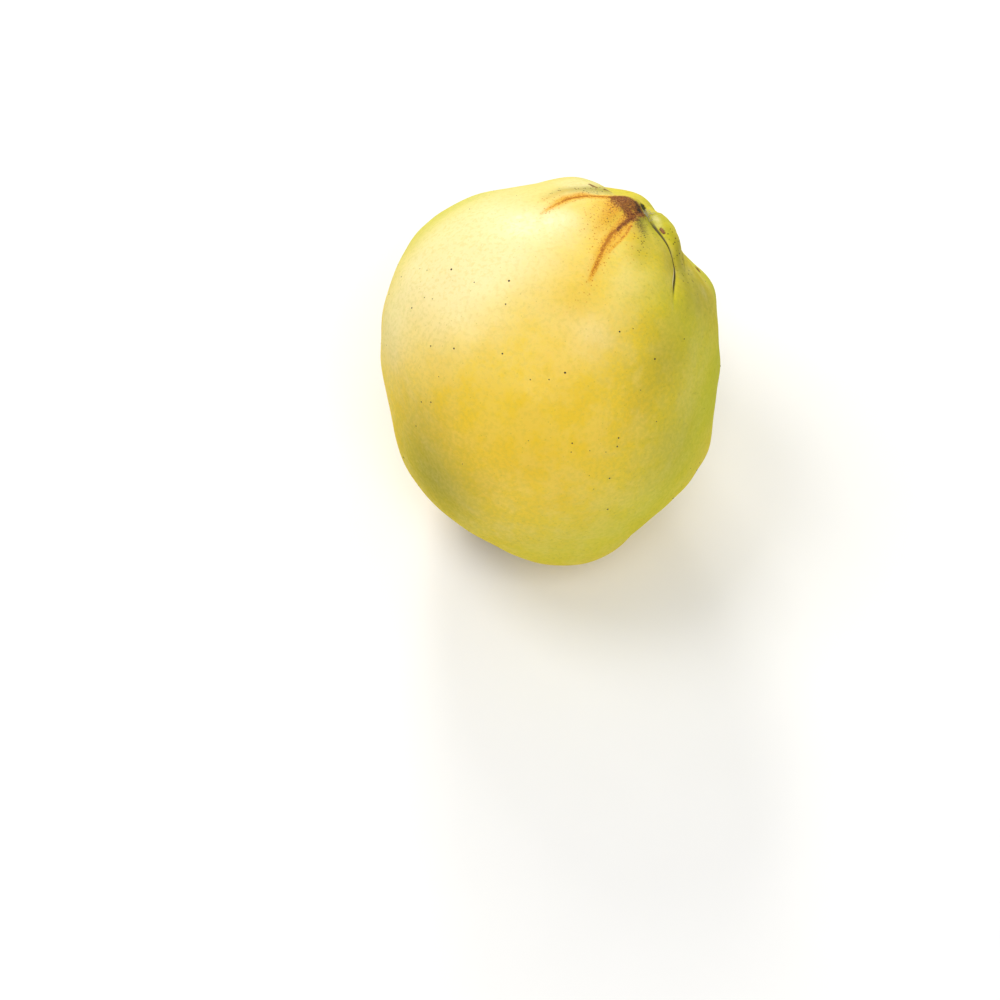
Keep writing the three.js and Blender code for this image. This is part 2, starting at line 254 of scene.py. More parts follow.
class QuinceSkinLooks(bpy.types.PropertyGroup):
    """Colours of the skin."""

    yellow: a_colour("Yellow", "The ripe skin", (0.86, 0.62, 0.05))
    gold: a_colour("Gold", "The ripest side", (0.80, 0.51, 0.015))
    green: a_colour("Green", "Sides that are still greenish", (0.53, 0.54, 0.015))
    # Olive is the skin's own dull green in flecks and patches, and the colour of the painted shade
    # beside the creases
    olive: a_colour("Olive", "Dull shades beside the creases", (0.31, 0.28, 0.01))
    # Pale is bleached skin, and painted highlight in the pale patches and in the rims beside the
    # creases
    pale_and_highlight: a_colour("Pale", "Bleached skin on the upper side", (0.92, 0.79, 0.42))
    russet: a_colour("Russet", "Rusty grains near the stem", (0.56, 0.21, 0.012))
    amber: a_colour("Amber", "Warm skin between the rusty grains", (0.80, 0.42, 0.03))
    rust: a_colour("Rust", "The heart of a russet streak", (0.34, 0.10, 0.008))
    bark: a_colour("Bark", "Brown cork on the knob beside the pit", (0.12, 0.032, 0.012))
    cork: a_colour("Cork", "Lighter grains of that cork", (0.31, 0.105, 0.02))
    # Furrow shade is painted shade: the dark line in the creases and on the floors of the two
    # hollows; the dark freckles take the same colour
    furrow_shade: a_colour("Furrow", "The dark line at the bottom of a crease", (0.05, 0.04, 0.01))
    speck: a_colour("Speck", "Dark specks of the skin", (0.02, 0.012, 0.004))
    gloss: bpy.props.FloatProperty(
        name="Roughness", description="Roughness of the bare skin", subtype="FACTOR",
        default=0.32, min=0.0, max=1.0)


class QuinceCalyx(bpy.types.PropertyGroup):
    """Sizes and colours of the dried calyx."""

    sepals: a_count("Sepals", "Dried sepals", 5)
    sepal_length: a_length("Sepal length", "From root to tip", 0.0075)
    sepal_width: a_length("Sepal width", "Across the widest place", 0.0046)
    stamens: a_count("Stamens", "Withered stamens in the middle", 24)
    stamen_length: a_length("Stamen length", "Length of a withered stamen", 0.0042)
    dried: a_colour("Dried", "The dried sepals", (0.028, 0.015, 0.008))
    wool: a_colour("Wool", "Down on the sepals and in the basin", (0.62, 0.56, 0.44))


class QuinceStub(bpy.types.PropertyGroup):
    """Sizes and colours of the stem stub."""

    height: a_length("Height", "From the pit's floor to the break", 0.0046)
    slant: a_length("Slant", "How much higher one side of the break is", 0.0009)
    fibres: a_count("Fibres", "Torn fibres that stand out of the break", 16)
    # The wood is darkened nearly to black as painted shade of the pit it stands in
    wood: a_colour("Wood", "Weathered grey wood", (0.06, 0.045, 0.03))


class QuinceStage(bpy.types.PropertyGroup):
    """The floor, the light and the camera."""

    floor_size: a_length("Floor size", "Side of the floor", 8.0)
    elevation: bpy.props.FloatProperty(
        name="Camera elevation", description="How far the camera looks down",
        default=math.radians(60), subtype="ANGLE")
    lens: a_number("Lens", "Focal length in millimetres", 85.0)
    picture_scale: a_number("Picture scale", "Pixels to a millimetre at the fruit", 3.7)
    lamp_power: a_number("Lamp power", "Power of the four lamps together in watts", 8.6)
    lamp_distance: a_length("Lamp distance", "From the fruit to each lamp", 0.95)
    sky: a_number("Sky", "Strength of the even light from all round", 0.47)


def fruit_axes():
    """The fruit's own x, y and z axes as rows: side and core as given, made square."""
    core = np.array(CORE_AXIS) / np.linalg.norm(CORE_AXIS)
    across = np.cross(core, SIDE_AXIS)
    across /= np.linalg.norm(across)
    return np.stack([np.cross(across, core), across, core])


def laid_down(points):
    """Points of the fruit's own frame where it lies, in millimetres: the three axes times the
    three numbers, added to the middle of the belly."""
    return np.array(BELLY_CENTRE) + points @ fruit_axes()


def smooth(x, a, b):
    """Rises from 0 at a to 1 at b along 3t^2 - 2t^3, level at both ends."""
    t = np.clip((x - a) / (b - a), 0, 1)
    return t * t * (3 - 2 * t)


def directions(azimuth, polar):
    """Unit vectors from the middle of the belly, from angles in degrees."""
    azimuth, polar = np.broadcast_arrays(np.multiply(azimuth, DEG), np.multiply(polar, DEG))
    flat = np.sin(polar)
    return np.stack([flat * np.cos(azimuth), flat * np.sin(azimuth), np.cos(polar)], axis=-1)


def outward(points):
    """Unit vectors from the middle of the belly to points."""
    return points / np.linalg.norm(points, axis=-1, keepdims=True)


def patches(toward, spots):
    """The sum of soft round patches at unit vectors: each is its amount times
    exp(-(1 - cos of the angle to its middle) / (1 - cos of its width))."""
    total = np.zeros(toward.shape[:-1])
    for azimuth, polar, width, amount in spots:
        apart = 1 - toward @ directions(azimuth, polar)
        total += amount * np.exp(-apart / (1 - math.cos(width * DEG)))
    return total


def half_section(shape):
    """The points that the half section passes through, as radius and height in millimetres,
    from the floor of the stem pit to the floor of the socket in the calyx basin."""
    r, top, base = shape.belly_radius / MM, shape.stem_height / MM, -shape.calyx_height / MM
    pit, pit_depth = shape.pit_radius / MM, shape.pit_depth / MM
    basin, basin_depth = shape.basin_radius / MM, shape.basin_depth / MM
    tube = shape.tube_radius / MM
    pit_floor = top - pit_depth
    socket_floor = base + basin_depth
    return np.array([
        (0, pit_floor),
        (0.55 * pit, pit_floor + 0.1),
        (0.8 * pit, pit_floor + 0.45 * pit_depth),
        (1.1 * pit, pit_floor + 0.82 * pit_depth),
        (1.9 * pit, top),
        (0.3 * r, 0.965 * top),
        (0.46 * r, 0.89 * top),
        (0.62 * r, 0.785 * top),
        (0.765 * r, 0.64 * top),
        (0.88 * r, 0.46 * top),
        (0.965 * r, 0.25 * top),
        (r, 0.02 * top),
        (0.97 * r, 0.19 * base),
        (0.885 * r, 0.41 * base),
        (0.765 * r, 0.62 * base),
        (0.63 * r, 0.79 * base),
        (0.48 * r, 0.92 * base),
        (0.36 * r, 0.985 * base),
        (basin, base),
        (0.72 * basin, base + 0.18 * basin_depth),
        (1.08 * tube, base + 0.55 * basin_depth),
        (0.94 * tube, base + 0.92 * basin_depth),
        (0.5 * tube, socket_floor),
        (0, socket_floor),
    ])


def spline(points, at):
    """A smooth curve through every point: between two of them it is the cubic whose slope at
    each is half the step between that point's two neighbours."""
    last = len(points) - 1
    place = np.clip(at, 0, 1) * last
    start = np.minimum(place.astype(int), last - 1)
    t = (place - start)[:, None]
    before, here = points[np.maximum(start - 1, 0)], points[start]
    after, beyond = points[start + 1], points[np.minimum(start + 2, last)]
    slope_in, slope_out = (after - before) / 2, (beyond - here) / 2
    cubic = (2 * (here - after) + slope_in + slope_out) * t ** 3
    square = (3 * (after - here) - 2 * slope_in - slope_out) * t ** 2
    return cubic + square + slope_in * t + here


def section_rows(shape):
    """Radius, height and outward normal of each row. Rows are spaced along the section so
    that they lie closest at both ends and three times as far apart at the belly."""
    points = half_section(shape)
    at = np.linspace(0, 1, DENSE)
    curve = spline(points, at)
    step = np.linalg.norm(np.diff(curve, axis=0), axis=1)
    middle = (curve[1:] + curve[:-1]) / 2
    belly = smooth(middle[:, 0], 0.2 * points[11, 0], points[11, 0])
    travelled = np.concatenate([[0], np.cumsum(step / (1 + 2 * belly))])
    even = np.linspace(0, travelled[-1], shape.rows)
    at = np.interp(even, travelled, at)
    rows = spline(points, at)
    nudge = 1e-4
    run = spline(points, at + nudge) - spline(points, at - nudge)
    normal = np.stack([-run[:, 1], run[:, 0]], axis=1)
    return rows, normal / np.linalg.norm(normal, axis=1)[:, None]


def crease_offsets(crease, azimuth, radius, distance):
    """How far to the side of a crease a point lies, in millimetres, and how far along it the
    point is as a share of its reach. The crease leaves the pit turned by its hook, which dies
    away as exp(-distance / hook length), and swings to the side further on by its bulge
    times exp(-((distance - bulge place) / bulge length)^2)."""
    middle, hook, bulge, reach = crease[:4]
    along = np.clip(distance / reach, 0, 1)
    swing = bulge * np.exp(-(((distance - BULGE_PLACE) / BULGE_LENGTH) ** 2))
    offset = azimuth - middle - swing - hook * np.exp(-distance / HOOK_LENGTH)
    turn = offset - 360 * np.round(offset / 360)
    return turn * DEG * radius, along


def crease_depth(crease, azimuth, radius, distance, lip):
    """Depth of a crease: a soft valley exp(-(across / width)^2) with a narrow cut
    exp(-3.5 across / width) along its bottom. It starts inside the lip, widens as it runs and
    fades out as (1 - along^2)^2."""
    across, along = crease_offsets(crease, azimuth, radius, distance)
    valley, spread, cut = crease[4:]
    width = spread * (1 + 1.6 * along)
    across = np.abs(across)
    depth = valley * np.exp(-((across / width) ** 2)) + cut * np.exp(-3.5 * across / width)
    return depth * (1 - along ** 2) ** 2 * smooth(radius, 0.75 * lip, 1.6 * lip)


def folded_lip(azimuth, radius, distance):
    """The long crease is folded: a groove exp(-((across - 0.3) / 0.4)^2) runs beside its
    bottom, and the skin on its near side is rounded by a lip exp(-((across + 1.6) / 0.8)^2)."""
    across, along = crease_offsets(LONG_CREASE, azimuth, radius, distance)
    groove = 0.5 * np.exp(-(((across - 0.3) / 0.4) ** 2))
    lip = 0.14 * np.exp(-(((across + 1.6) / 0.8) ** 2))
    ends = smooth(along, 0.2, 0.42) * (1 - smooth(along, 0.6, 0.92))
    return (lip - groove) * ends


def calyx_creases():
    """Ten creases round the calyx basin, every second one longer and deeper, in the same
    terms as those of the stem end."""
    creases = []
    for k in range(10):
        odd = k % 2
        reach = 21 if odd else 27 + 3 * math.sin(1.3 * k)
        middle = 36 * k + 7 * math.sin(2.7 * k + 1)
        hook = 12 * math.sin(1.9 * k)
        creases.append((middle, hook, 0, reach, *((0.7, 1.8, 0.3) if odd else (1.3, 2.4, 0.6))))
    return creases


def ripples(toward):
    """Faint unevenness of the skin, in millimetres: a sum of sine waves that run in seeded
    random directions, each a little lower the shorter it is."""
    rng = np.random.default_rng(11)
    height = np.zeros(toward.shape[:-1])
    for wave in range(30):
        axis = rng.normal(size=3)
        axis /= np.linalg.norm(axis)
        count = rng.uniform(9, 34)
        height += 0.9 / count * np.sin(count * (toward @ axis) + rng.uniform(0, 2 * math.pi))
    return height


def meridian_azimuths(shape):
    """The azimuth of each meridian: even steps u less half of sin(u - u0), so that they lie
    closest together round u0, where the sharpest creases are."""
    even = np.linspace(-math.pi, math.pi, shape.meridians, endpoint=False)
    return (even - 0.5 * np.sin(even - CREASED_SIDE * DEG))[None, :] / DEG


def places(shape):
    """The azimuth of each meridian, then each row's radius, its height and its distances from
    the middles of the stem end's rim and of the calyx end's."""
    rows, _ = section_rows(shape)
    radius, z = rows[:, :1], rows[:, 1:]
    from_stem = np.hypot(radius, shape.stem_height / MM - z)
    from_calyx = np.hypot(radius, shape.calyx_height / MM + z)
    return meridian_azimuths(shape), radius, z, from_stem, from_calyx


def bow_at(shape, z):
    """How far the core is bowed to the side at a height, in millimetres."""
    return shape.sway / MM * np.sin(math.pi * (z - SWAY_START) / SWAY_LENGTH)


def fruit_grid(shape):
    """The whole skin as a grid of points in the fruit's own frame, in millimetres, one row
    for each row of the section and one column for each meridian. The section is turned about
    the core, every point moves along its normal by the relief, and the core's bow then moves
    it to the side by sway times sin(pi (z - start) / length)."""
    _, normals = section_rows(shape)
    azimuth, radius, z, from_stem, from_calyx = places(shape)
    pit, tube = shape.pit_radius / MM, shape.tube_radius / MM
    height = np.zeros((shape.rows, shape.meridians))
    for crease in STEM_CREASES:
        height -= crease_depth(crease, azimuth, radius, from_stem, 1.4 * pit)
    for crease in calyx_creases():
        height -= crease_depth(crease, azimuth, radius, from_calyx, tube)
    height += folded_lip(azimuth, radius, from_stem)
    toward = directions(azimuth, np.arctan2(radius, z) / DEG)
    height += smooth(radius, pit, 2 * pit) * (patches(toward, LUMPS) + ripples(toward))
    out = radius + normals[:, :1] * height
    up = z + normals[:, 1:] * height
    turn = azimuth * DEG
    aside = out * np.cos(turn) + bow_at(shape, up)
    return np.stack([aside, out * np.sin(turn), up], axis=-1)


def closed_skin(grid):
    """Vertices and faces of a grid whose rows are rings, closed by a single point at each end:
    the middle of the first row and of the last. Rings turn anticlockwise seen from the first
    end, so the faces look out."""
    count, columns = grid.shape[0] - 2, grid.shape[1]
    ends = grid[[0, -1]].mean(axis=1)
    vertices = np.concatenate([ends[:1], grid[1:-1].reshape(-1, 3), ends[1:]])
    column = np.arange(columns)
    beside = (column + 1) % columns
    first = 1 + np.arange(count - 1)[:, None] * columns
    second = first + columns
    corners = [first + column, second + column, second + beside, first + beside]
    quads = np.stack(corners, axis=-1).reshape(-1, 4)
    last_ring = 1 + (count - 1) * columns
    top = np.stack([np.zeros(columns, int), 1 + column, 1 + beside], axis=-1)
    end = np.full(columns, len(vertices) - 1)
    bottom = np.stack([end, last_ring + beside, last_ring + column], axis=-1)
    return vertices, quads.tolist() + top.tolist() + bottom.tolist()


def tube(path, side, width, thickness, columns):
    """A closed grid of flattened rings carried along a path: at each of its points a ring
    width across to the side and thickness across the other way."""
    tangent = np.gradient(path, axis=0)
    tangent /= np.linalg.norm(tangent, axis=1)[:, None]
    side = side - tangent * np.sum(side * tangent, axis=1)[:, None]
    side /= np.linalg.norm(side, axis=1)[:, None]
    up = np.cross(tangent, side)
    turn = np.linspace(0, 2 * math.pi, columns, endpoint=False)
    sideways = width[:, None, None] / 2 * np.cos(turn)[None, :, None] * side[:, None, :]
    upward = thickness[:, None, None] / 2 * np.sin(turn)[None, :, None] * up[:, None, :]
    return path[:, None, :] + sideways - upward


def aslant(path):
    """A side for a round tube: square to its run and to one fixed slanting line."""
    return np.cross(path[-1] - path[0], SLANT)


def round_the_core(path):
    """A side for a flat tube: across the line from the z axis to its root."""
    side = np.array([-path[0, 1], path[0, 0], 0.0])
    return side if side.any() else np.array([1.0, 0.0, 0.0])


def many_tubes(paths, widths, thicknesses, columns, side_of=aslant):
    """Vertices and faces of many closed tubes in one mesh, each as wide as given to the side
    that side_of gives for its path."""
    vertices, faces, first = [], [], 0
    for path, width, thickness in zip(paths, widths, thicknesses):
        side = side_of(path) + np.zeros_like(path)
        points, polygons = closed_skin(tube(path, side, width, thickness, columns))
        vertices.append(points)
        faces += [[first + corner for corner in polygon] for polygon in polygons]
        first += len(points)
    return np.concatenate(vertices), faces


def joined(first, second):
    """Two meshes, each given as its vertices and faces, as one."""
    count = len(first[0])
    moved = [[corner + count for corner in face] for face in second[1]]
    return np.concatenate([first[0], second[0]]), first[1] + moved


def new_piece(name, vertices, faces, material, replaced=()):
    """Makes a mesh of points in the fruit's own frame a smooth-shaded piece of the fruit."""
    place = laid_down(vertices)
    place[:, 2] = np.maximum(place[:, 2], 0)
    mesh = bpy.data.meshes.new(name)
    mesh.from_pydata((place * MM).tolist(), [], faces)
    mesh.shade_smooth()
    mesh.materials.append(material)
    piece = bpy.data.objects.new(name, mesh)
    bpy.context.scene.collection.objects.link(piece)
    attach(piece, "root")
    if replaced:
        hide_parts(*replaced)
    return piece


def mark(piece, name, values):
    """Stores one number for each vertex under a name that the material reads."""
    attribute = piece.data.attributes.new(name, "FLOAT", "POINT")
    attribute.data.foreach_set("value", np.ascontiguousarray(values, dtype=np.float32))


class Finish:
    """A material's node tree, with short calls that each add one node and give its output.
    Patterns are laid out in millimetres."""

    def __init__(self, name):
        self.material = bpy.data.materials.new(name)
        self.material.use_nodes = True
        self.tree = self.material.node_tree
        self.shader = self.tree.nodes["Principled BSDF"]
        coordinates = self.add("TexCoord").outputs["Object"]
        inputs = {"Vector": coordinates, "Scale": (1 / MM, 1 / MM, 1 / MM)}
        self.place = self.put(self.add("Mapping"), inputs).outputs["Vector"]

    def add(self, kind):
        return self.tree.nodes.new("ShaderNode" + kind)

    def put(self, node, inputs):
        """Sets or links the inputs of a node, each given by name or number."""
        for key, value in inputs.items():
            if isinstance(value, bpy.types.NodeSocket):
                self.tree.links.new(value, node.inputs[key])
            else:
                node.inputs[key].default_value = value
        return node

    def noise(self, per_mm, detail=2.0, roughness=0.5):
        texture = self.add("TexNoise")
        inputs = {"Vector": self.place, "Scale": per_mm, "Detail": detail,
                  "Roughness": roughness}
        return self.put(texture, inputs).outputs["Fac"]

    def cells(self, per_mm):
        texture = self.add("TexVoronoi")
        return self.put(texture, {"Vector": self.place, "Scale": per_mm}).outputs["Distance"]

    def grazing(self):
        """0 where the surface is looked at squarely, 1 where it is looked along."""
        return self.add("LayerWeight").outputs["Facing"]

    def read(self, name):
        attribute = self.add("Attribute")
        attribute.attribute_name = name
        return attribute.outputs["Fac"]

    def maths(self, operation, first, second, clamped=True):
        node = self.add("Math")
        node.operation = operation
        node.use_clamp = clamped
        return self.put(node, {0: first, 1: second}).outputs["Value"]

    def times(self, first, second):
        return self.maths("MULTIPLY", first, second)

    def plus(self, first, second):
        return self.maths("ADD", first, second)

    def less(self, value, chance, share):
        """A value less a share of a random pattern, never below 0."""
        return self.maths("SUBTRACT", value, self.times(chance, share))

    def away_from(self, value, middle):
        """How far a value lies from a middle."""
        apart = self.maths("SUBTRACT", value, middle, False)
        return self.maths("ABSOLUTE", apart, 0, False)

    def dressed(self, colour, rough, normal, more=()):
        """The material, once its shader's inputs are set."""
        self.put(self.shader, {"Base Color": colour, "Roughness": rough, "Normal": normal})
        self.put(self.shader, dict(more))
        return self.material

    def between(self, value, low, high, start=0.0, end=1.0):
        """Follows a value from start at low to end at high, level at both ends."""
        node = self.add("MapRange")
        node.interpolation_type = "SMOOTHSTEP"
        inputs = {"Value": value, "From Min": low, "From Max": high, "To Min": start,
                  "To Max": end}
        return self.put(node, inputs).outputs["Result"]

    def blend(self, amount, first, second):
        """Mixes two colours, each an output or three numbers."""
        node = self.add("Mix")
        node.data_type = "RGBA"
        sockets = {socket.identifier: socket for socket in node.inputs}
        self.tree.links.new(amount, sockets["Factor_Float"])
        for key, colour in (("A_Color", first), ("B_Color", second)):
            if isinstance(colour, bpy.types.NodeSocket):
                self.tree.links.new(colour, sockets[key])
            else:
                sockets[key].default_value = (*colour, 1.0)
        return next(socket for socket in node.outputs if socket.identifier == "Result_Color")

    def bump(self, height, millimetres, below=None):
        node = self.add("Bump")
        inputs = {"Height": height, "Distance": millimetres * MM, "Strength": 1.0}
        if below is not None:
            inputs["Normal"] = below
        return self.put(node, inputs).outputs["Normal"]


def skin_finish(looks):
    """Ripe skin: soft tints broken up by fine mottling, rusty grains where the russet is strong,
    painted shade as a dark line in the furrows, in the pit and beside the creases, painted
    highlights as pale patches and rims on the upper side, and a waxy, slightly uneven gloss."""
    skin = Finish("quince_skin")
    broad = skin.noise(0.09, 3, 0.55)
    cloud = skin.between(skin.noise(0.16, 3, 0.6), 0.38, 0.62)
    fine = skin.noise(0.9, 4, 0.6)
    grain = skin.noise(2.0, 3, 0.7)
    green, russet = skin.read("green"), skin.read("russet")
    colour = skin.blend(skin.between(broad, 0.38, 0.68, 0, 0.3), looks.yellow, looks.gold)
    colour = skin.blend(skin.times(cloud, 0.14), colour, looks.pale_and_highlight)
    # The tints from the patches: pale is partly painted highlight, gold and olive are partly
    # painted shade on the lower side
    for name, shade in (("pale_and_highlight", looks.pale_and_highlight), ("gold", looks.gold), ("green", looks.green),
                        ("olive", looks.olive)):
        uneven = skin.plus(skin.read(name), skin.between(fine, 0.3, 0.7, -0.08, 0.08))
        colour = skin.blend(skin.times(uneven, 0.9), colour, shade)
    # Fine dull flecks, more of them where the skin is greener
    fleck = skin.between(skin.noise(1.1, 3, 0.6), 0.57, 0.68, 0, 0.3)
    fleck = skin.times(fleck, skin.between(green, 0.0, 0.6, 0.3, 1.0))
    fleck = skin.times(fleck, skin.between(skin.read("pale_and_highlight"), 0.1, 0.7, 1.0, 0.2))
    fleck = skin.times(fleck, skin.between(cloud, 0.0, 1.0, 1.0, 0.4))
    pore = skin.between(skin.cells(0.5), 0.05, 0.12, 0.3, 0.0)
    colour = skin.blend(skin.maths("MAXIMUM", fleck, pore), colour, looks.olive)
    # Painted shade: dull olive beside the pit and along the creases
    colour = skin.blend(skin.times(skin.read("shade"), 0.8), colour, looks.olive)
    chance = skin.plus(skin.times(skin.cells(2.2), 0.75),
                       skin.between(grain, 0.35, 0.65, 0, 0.4))
    warm = skin.blend(skin.between(russet, 0.08, 0.7, 0, 0.92), colour, looks.amber)
    rusty = skin.between(skin.maths("SUBTRACT", russet, chance), 0.0, 0.3, 0, 0.92)
    heart = skin.plus(russet, skin.between(grain, 0.35, 0.65, -0.3, 0.3))
    heart = skin.between(heart, 0.65, 1.1)
    colour = skin.blend(rusty, warm, skin.blend(heart, looks.russet, looks.rust))
    # Loose freckles, rusty beside the streaks and nearly black in the olive painted shade beside
    # the creases
    freckle = skin.between(skin.cells(1.0), 0.12, 0.28, 0.9, 0.0)
    beside = skin.times(freckle, skin.between(russet, 0.05, 0.25))
    colour = skin.blend(beside, colour, looks.russet)
    beside = skin.times(freckle, skin.between(skin.read("shade"), 0.1, 0.5))
    colour = skin.blend(beside, colour, looks.furrow_shade)
    # Brownish skin round the calyx
    around = skin.less(skin.read("basin"), chance, 0.7)
    brownish = skin.blend(skin.between(fine, 0.4, 0.6), looks.olive, looks.rust)
    colour = skin.blend(skin.between(around, 0.0, 0.7, 0, 0.7), colour, brownish)
    # Cork on the knob and in the scars
    bark = skin.less(skin.read("bark"), chance, 0.3)
    bark = skin.between(bark, 0.0, 0.5, 0, 0.95)
    cork = skin.blend(skin.between(grain, 0.4, 0.6), looks.bark, looks.cork)
    colour = skin.blend(bark, colour, cork)
    # A painted highlight: a pale rim on the near side of a crease's dark line, where its lip
    # catches the light
    rim = skin.between(skin.away_from(skin.read("across"), HIGHLIGHT_RIM_PLACE), 0.2, 0.55, 1.0, 0.0)
    strength = skin.read("furrow_shade")
    rim = skin.times(skin.between(strength, 0.48, 0.68, 0, 1.0), rim)
    colour = skin.blend(rim, colour, looks.pale_and_highlight)
    # Painted shade: a dark line at the bottom of each crease and over the floors of the two hollows
    line = skin.between(skin.away_from(skin.read("across"), SHADE_LINE_PLACE), 0.15, 0.6, 1.0, 0.0)
    furrow_shade = skin.between(skin.times(strength, line), 0.25, 0.75, 0, 0.92)
    colour = skin.blend(furrow_shade, colour, looks.furrow_shade)
    # Painted shade in the pit and where the long crease leaves it, and a few dark marks beside the
    # russet
    pit_shade_and_marks = skin.less(skin.read("pit_shade_and_marks"), chance, 0.35)
    colour = skin.blend(skin.between(pit_shade_and_marks, 0.1, 0.6, 0, 0.95), colour, looks.speck)
    rough = skin.between(fine, 0.3, 0.7, looks.gloss - 0.04, looks.gloss + 0.06)
    rough = skin.plus(rough, skin.times(rusty, 0.25))
    rough = skin.plus(rough, skin.times(bark, 0.2))
    # Down makes the skin duller where it is seen along its surface.
    rough = skin.plus(rough, skin.between(skin.grazing(), 0.4, 0.8, 0, 0.55))
    normal = skin.bump(skin.noise(0.14, 2, 0.5), 0.35)
    normal = skin.bump(skin.noise(0.45, 3, 0.5), 0.10, normal)
    normal = skin.bump(skin.noise(3.2, 3, 0.6), 0.018, normal)
    normal = skin.bump(skin.plus(skin.times(rusty, 0.4), bark), 0.08, normal)
    return skin.dressed(colour, rough, normal, {
        "Subsurface Weight": 0.12, "Subsurface Radius": (1.0, 0.6, 0.15),
        "Subsurface Scale": 0.0015, "Specular IOR Level": 0.2})


def speck_finish(looks):
    """Dry dark cork, a little lighter in places."""
    speck = Finish("skin_speck")
    lighter = speck.between(speck.noise(4.0), 0.5, 0.7, 0, 0.5)
    colour = speck.blend(lighter, looks.speck, looks.bark)
    normal = speck.bump(speck.noise(8.0), 0.03)
    return speck.dressed(colour, 0.7, normal)


def calyx_finish(calyx):
    """Dried sepals: nearly black, with brown patches, woolly grey flecks and fine ribs."""
    dried = Finish("dry_calyx")
    brown = tuple(3.2 * channel for channel in calyx.dried)
    patch = dried.between(dried.noise(0.7, 4, 0.6), 0.45, 0.65)
    colour = dried.blend(patch, calyx.dried, brown)
    fleck = dried.between(dried.noise(2.4, 3, 0.7), 0.62, 0.72, 0, 0.55)
    colour = dried.blend(fleck, colour, calyx.wool)
    normal = dried.bump(dried.noise(1.6, 4, 0.6), 0.25)
    rough = dried.between(dried.noise(1.0), 0.3, 0.7, 0.7, 0.95)
    return dried.dressed(colour, rough, normal)


def wool_finish(calyx):
    """Short matted down, cream with a brown tinge in places."""
    wool = Finish("quince_down")
    tinge = tuple(0.45 * channel for channel in calyx.wool)
    colour = wool.blend(wool.noise(0.5, 3), calyx.wool, tinge)
    normal = wool.bump(wool.noise(9.0), 0.01)
    return wool.dressed(colour, 0.85, normal, {"Sheen Weight": 0.3})


def wood_finish(stub):
    """Weathered wood, darkened as painted shade of the pit: grey-brown with darker streaks along
    the stub.
    """
    wood = Finish("stem_wood")
    grey = tuple(2.2 * channel for channel in stub.wood)
    streak = wood.between(wood.noise(1.6, 4, 0.7), 0.4, 0.65)
    colour = wood.blend(streak, stub.wood, grey)
    dark = wood.between(wood.noise(0.8, 2), 0.5, 0.65, 0, 0.8)
    colour = wood.blend(dark, colour, (0.02, 0.013, 0.008))
    normal = wood.bump(wood.noise(2.8, 4, 0.7), 0.12)
    return wood.dressed(colour, 0.85, normal)


def floor_finish():
    """Plain matt white board with a faint grain."""
    floor = Finish("studio_floor")
    colour = floor.blend(floor.noise(0.05, 2), (0.93, 0.93, 0.925), (0.95, 0.95, 0.945))
    normal = floor.bump(floor.noise(0.4, 2), 0.02)
    return floor.dressed(colour, 0.9, normal, {"Specular IOR Level": 0.2})


def on_skin(points, toward, azimuth, polar):
    """The grid's point that lies nearest to a direction."""
    nearest = np.argmax(toward.reshape(-1, 3) @ directions(azimuth, polar))
    return points.reshape(-1, 3)[nearest]


def streaks(points, lines):
    """The strength of streaks at points: for each stretch of a line its strength times
    exp(-(distance / width)^2), and over all stretches the largest. A line's points are found
    on the skin by their angles, so distances are real ones."""
    toward = outward(points)
    total = np.zeros(points.shape[:-1])
    for width, line in lines:
        spots = np.stack([on_skin(points, toward, step[0], step[1]) for step in line])
        strengths = [step[2] for step in line]
        for k in range(len(line) - 1):
            run = spots[k + 1] - spots[k]
            share = np.clip((points - spots[k]) @ run / (run @ run), 0, 1)
            away = np.linalg.norm(points - spots[k] - share[..., None] * run, axis=-1)
            strength = strengths[k] + (strengths[k + 1] - strengths[k]) * share
            total = np.maximum(total, strength * np.exp(-((away / width) ** 2)))
    return total


def crease_shade_lines(shape):
    """For each point of the grid how strong the painted shade of the nearest crease is, as its cut
    times a weight for its end of the fruit times exp(-(across / 1.5)^2), less where it starts and
    where it fades out, and how far to the side of its bottom the point lies, in millimetres. The
    floors of the two hollows get the same painted shade."""
    azimuth, radius, _, from_stem, from_calyx = places(shape)
    strength = np.zeros((shape.rows, shape.meridians))
    side = np.full(strength.shape, FAR_ASIDE)
    for creases, distance, lip, weight in (
            (STEM_CREASES, from_stem, shape.pit_radius / MM, 1.0),
            (calyx_creases(), from_calyx, shape.tube_radius / MM, 1.6)):
        for crease in creases:
            across, along = crease_offsets(crease, azimuth, radius, distance)
            here = weight * crease[-1] / LONG_CREASE[-1] * np.exp(-((across / 1.5) ** 2))
            here = here * smooth(along, 0.05, 0.36) * (1 - smooth(along, 0.62, 0.9))
            here = here * smooth(radius, lip, 2 * lip)
            side = np.where(here > strength, across, side)
            strength = np.maximum(strength, here)
        hollow = (1 - smooth(radius, 0.7 * lip, lip)) * (distance < HOLLOW_REACH)
        hollow = np.broadcast_to(hollow, strength.shape)
        side = np.where(hollow > strength, SHADE_LINE_PLACE, side)
        strength = np.maximum(strength, hollow)
    return strength, side


